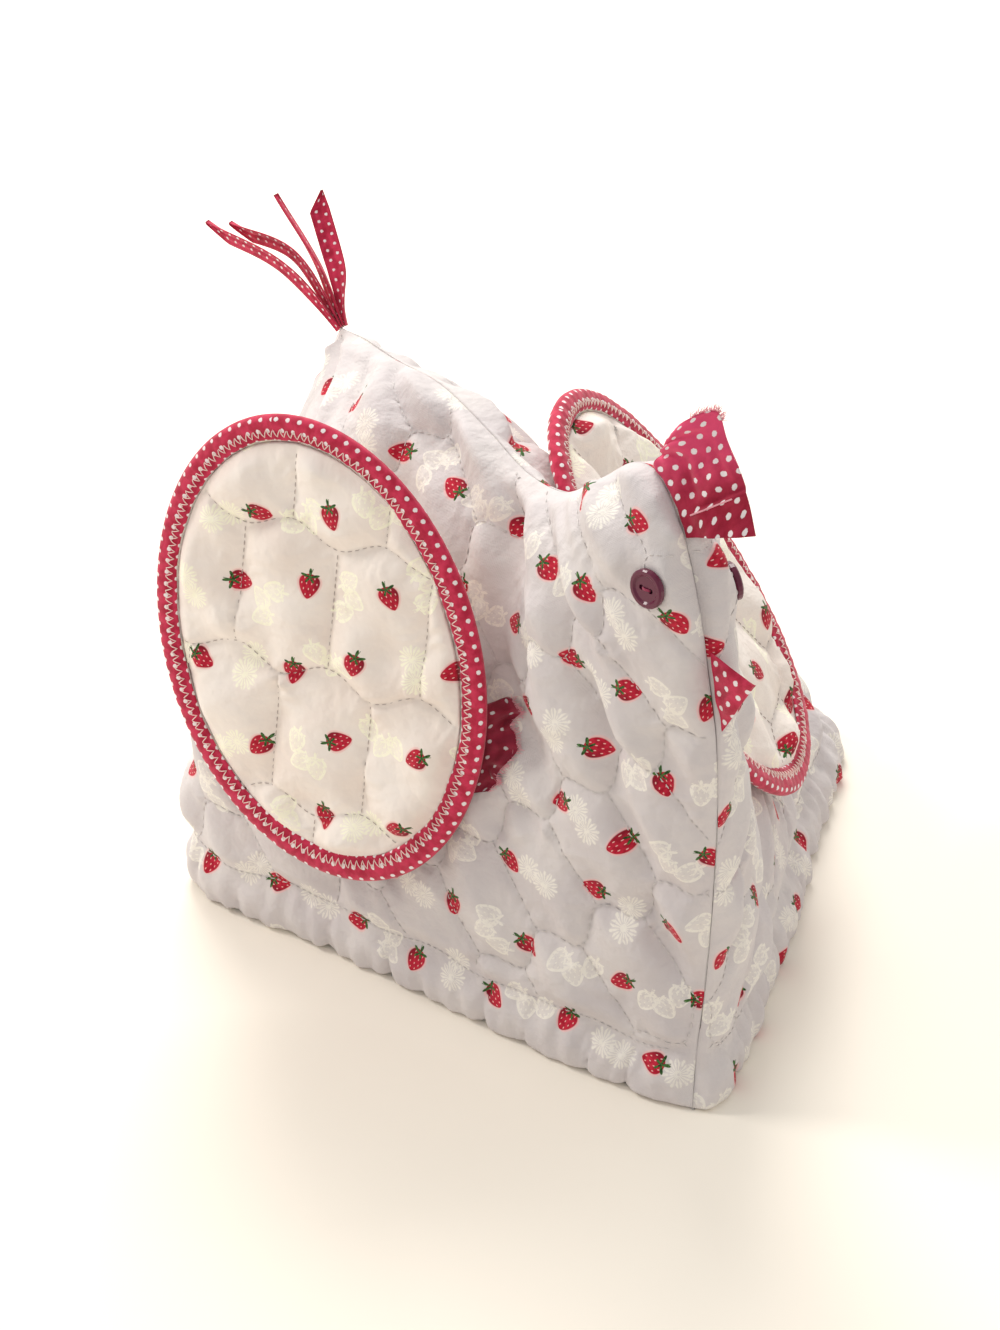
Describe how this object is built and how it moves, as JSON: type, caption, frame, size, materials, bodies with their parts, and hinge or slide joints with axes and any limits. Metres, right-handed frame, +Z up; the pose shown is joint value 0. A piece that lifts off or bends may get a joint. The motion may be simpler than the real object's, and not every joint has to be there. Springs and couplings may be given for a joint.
{
  "type": "hen-shaped quilted tea cosy",
  "caption": "Quilted cotton tea cosy in the form of a hen, open at its hem, with bound oval wings, a comb, a beak, button eyes and ribbon tail.",
  "frame": {"origin": "middle of the whole piece's box, on the table under the hem", "axes": "+Z up; +X the way the hen's beak points, along the longest extent; -Y the hen's right side"},
  "size_m": [0.3568, 0.3145, 0.2877],
  "materials": {
    "quilted_cotton": "matt printed cotton, quilted",
    "wing_cotton": "matt printed cotton, quilted",
    "pin_dot_cotton": "matt red cotton with white pin dots",
    "tab_cotton": "matt dark red cotton with a frayed edge",
    "button": "polished"
  },
  "bodies": {
    "root": {"panel_right": "quilted_cotton", "panel_left": "quilted_cotton", "wing_right": "wing_cotton", "wing_left": "wing_cotton", "wing_binding_right": "pin_dot_cotton", "wing_binding_left": "pin_dot_cotton", "wing_tab": "tab_cotton", "comb": "pin_dot_cotton", "beak": "pin_dot_cotton", "eye_right": "button", "eye_left": "button", "tail_ribbon_1": "pin_dot_cotton", "tail_ribbon_2": "pin_dot_cotton", "tail_ribbon_3": "pin_dot_cotton", "tail_ribbon_4": "pin_dot_cotton"}
  },
  "joints": []
}
